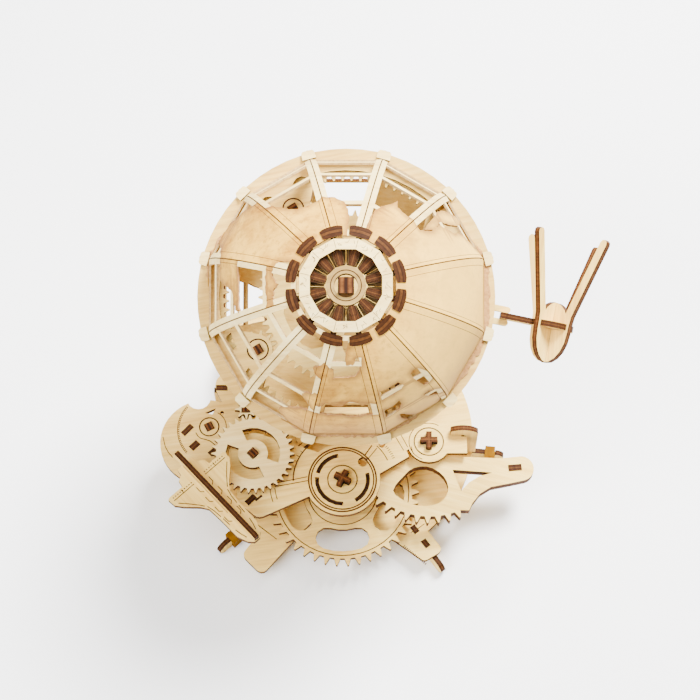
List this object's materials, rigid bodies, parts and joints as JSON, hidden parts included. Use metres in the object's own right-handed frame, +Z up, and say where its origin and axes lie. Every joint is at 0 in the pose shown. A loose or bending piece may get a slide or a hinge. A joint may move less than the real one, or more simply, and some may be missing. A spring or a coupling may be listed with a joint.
{
  "type": "orrery",
  "caption": "Plywood mechanical globe on a geared round base, with a hand lever, a tilted openwork sphere and a satellite that circles its equator.",
  "frame": {"origin": "centre of the bottom of the bounding box, on the surface that the feet stand on", "axes": "+Z up, -Y towards the front where the lever and dial are worked, +X to the right"},
  "size_m": [0.3108, 0.2335, 0.3108],
  "materials": {
    "birch_ply": "raw laser-cut birch plywood, fine straight grain",
    "printed_ply": "thin plywood stained pinkish tan, satin",
    "burnt_ply": "laser-burnt plywood edge, matt, with pale glue lines",
    "amber_rubber": "translucent amber rubber band, satin"
  },
  "bodies": {
    "root": {"base_plate": "birch_ply", "foot_front_left": "birch_ply", "foot_front_right": "birch_ply", "foot_right": "birch_ply", "foot_left": "birch_ply", "foot_rear": "birch_ply", "foot_band_front_left": "amber_rubber", "foot_band_right": "amber_rubber", "foot_band_left": "amber_rubber", "season_plate": "birch_ply", "left_plate": "birch_ply", "deck_post_front": "burnt_ply", "deck_post_left": "burnt_ply", "deck_post_rear": "burnt_ply", "hook_clamp": "birch_ply", "mast_left": "birch_ply", "mast_right": "birch_ply", "bearing_block": "birch_ply", "shuttle_wing": "birch_ply", "shuttle_keel": "burnt_ply", "globe_axle": "burnt_ply", "sun_gear": "birch_ply"},
    "lever": {"lever_sector": "birch_ply", "lever_shaft": "burnt_ply"},
    "dial": {"big_wheel": "birch_ply", "dial_shaft": "burnt_ply", "dial_cap": "birch_ply"},
    "left_train": {"left_gear": "birch_ply", "left_shaft": "burnt_ply"},
    "transfer": {"transfer_shaft": "burnt_ply", "upper_pinion": "birch_ply"},
    "drive": {"drive_gear": "birch_ply", "drive_shaft": "burnt_ply"},
    "globe": {"equator_plate": "birch_ply", "north_hub": "birch_ply", "polar_band": "birch_ply", "north_skin": "printed_ply", "south_shell": "birch_ply", "globe_gear": "burnt_ply", "rib_01": "birch_ply", "rib_02": "birch_ply", "rib_03": "birch_ply", "rib_04": "birch_ply", "rib_05": "birch_ply", "rib_06": "birch_ply", "rib_07": "birch_ply", "rib_08": "birch_ply", "rib_09": "birch_ply", "rib_10": "birch_ply", "rib_11": "birch_ply", "rib_12": "birch_ply"},
    "orbit": {"orbit_ring": "birch_ply", "satellite_arm": "burnt_ply", "satellite_plate_a": "birch_ply", "satellite_plate_b": "birch_ply", "satellite_disc": "birch_ply"},
    "planet_1": {"planet_gear_1": "birch_ply"},
    "planet_2": {"planet_gear_2": "birch_ply"},
    "planet_3": {"planet_gear_3": "birch_ply"},
    "planet_4": {"planet_gear_4": "birch_ply"}
  },
  "joints": [
    {"name": "globe_spin", "type": "hinge", "parent": "root", "child": "globe", "pos_m": [-0.018, 0.01375, 0.216], "axis": [0, -0.342, 0.9397], "range_deg": [0, 540]},
    {"name": "drive_spin", "type": "hinge", "parent": "root", "child": "drive", "pos_m": [-0.068, 0.05, 0.05], "axis": [0, 0, 1], "range_deg": [-2160.5, 0]},
    {"name": "transfer_spin", "type": "hinge", "parent": "root", "child": "transfer", "pos_m": [-0.09224, -0.00488, 0.05], "axis": [0, 0, 1], "range_deg": [0, 5040.5]},
    {"name": "left_spin", "type": "hinge", "parent": "root", "child": "left_train", "pos_m": [-0.08639, -0.0401, 0.05], "axis": [0, 0, 1], "range_deg": [-1186.38, 0]},
    {"name": "dial_spin", "type": "hinge", "parent": "root", "child": "dial", "pos_m": [-0.021, -0.05725, 0.05], "axis": [0, 0, 1], "range_deg": [0, 282.85]},
    {"name": "lever_swing", "type": "hinge", "parent": "root", "child": "lever", "pos_m": [0.04254, -0.02789, 0.05], "axis": [0, 0, 1], "range_deg": [-61.88, 0]},
    {"name": "planet_1_spin", "type": "hinge", "parent": "globe", "child": "planet_1", "pos_m": [0.04063, 0.04685, 0.22805], "axis": [0, -0.342, 0.9397], "range_deg": [0, 2700.5]},
    {"name": "planet_2_spin", "type": "hinge", "parent": "globe", "child": "planet_2", "pos_m": [-0.05323, 0.06884, 0.23605], "axis": [0, -0.342, 0.9397], "range_deg": [0, 2700.5]},
    {"name": "planet_3_spin", "type": "hinge", "parent": "globe", "child": "planet_3", "pos_m": [-0.07663, -0.01935, 0.20395], "axis": [0, -0.342, 0.9397], "range_deg": [0, 2700.5]},
    {"name": "planet_4_spin", "type": "hinge", "parent": "globe", "child": "planet_4", "pos_m": [0.01723, -0.04134, 0.19595], "axis": [0, -0.342, 0.9397], "range_deg": [0, 2700.5]},
    {"name": "orbit_spin", "type": "hinge", "parent": "globe", "child": "orbit", "pos_m": [-0.018, 0.01375, 0.216], "axis": [0, -0.342, 0.9397], "range_deg": [0, 386.21]}
  ],
  "couplings": [
    {"joint": "drive_spin", "follows": "globe_spin", "ratio": -4},
    {"joint": "transfer_spin", "follows": "globe_spin", "ratio": 9.3333},
    {"joint": "left_spin", "follows": "globe_spin", "ratio": -2.1961},
    {"joint": "dial_spin", "follows": "globe_spin", "ratio": 0.52288},
    {"joint": "lever_swing", "follows": "globe_spin", "ratio": -0.11367},
    {"joint": "planet_1_spin", "follows": "globe_spin", "ratio": 5},
    {"joint": "planet_2_spin", "follows": "globe_spin", "ratio": 5},
    {"joint": "planet_3_spin", "follows": "globe_spin", "ratio": 5},
    {"joint": "planet_4_spin", "follows": "globe_spin", "ratio": 5},
    {"joint": "orbit_spin", "follows": "globe_spin", "ratio": 0.71429}
  ]
}
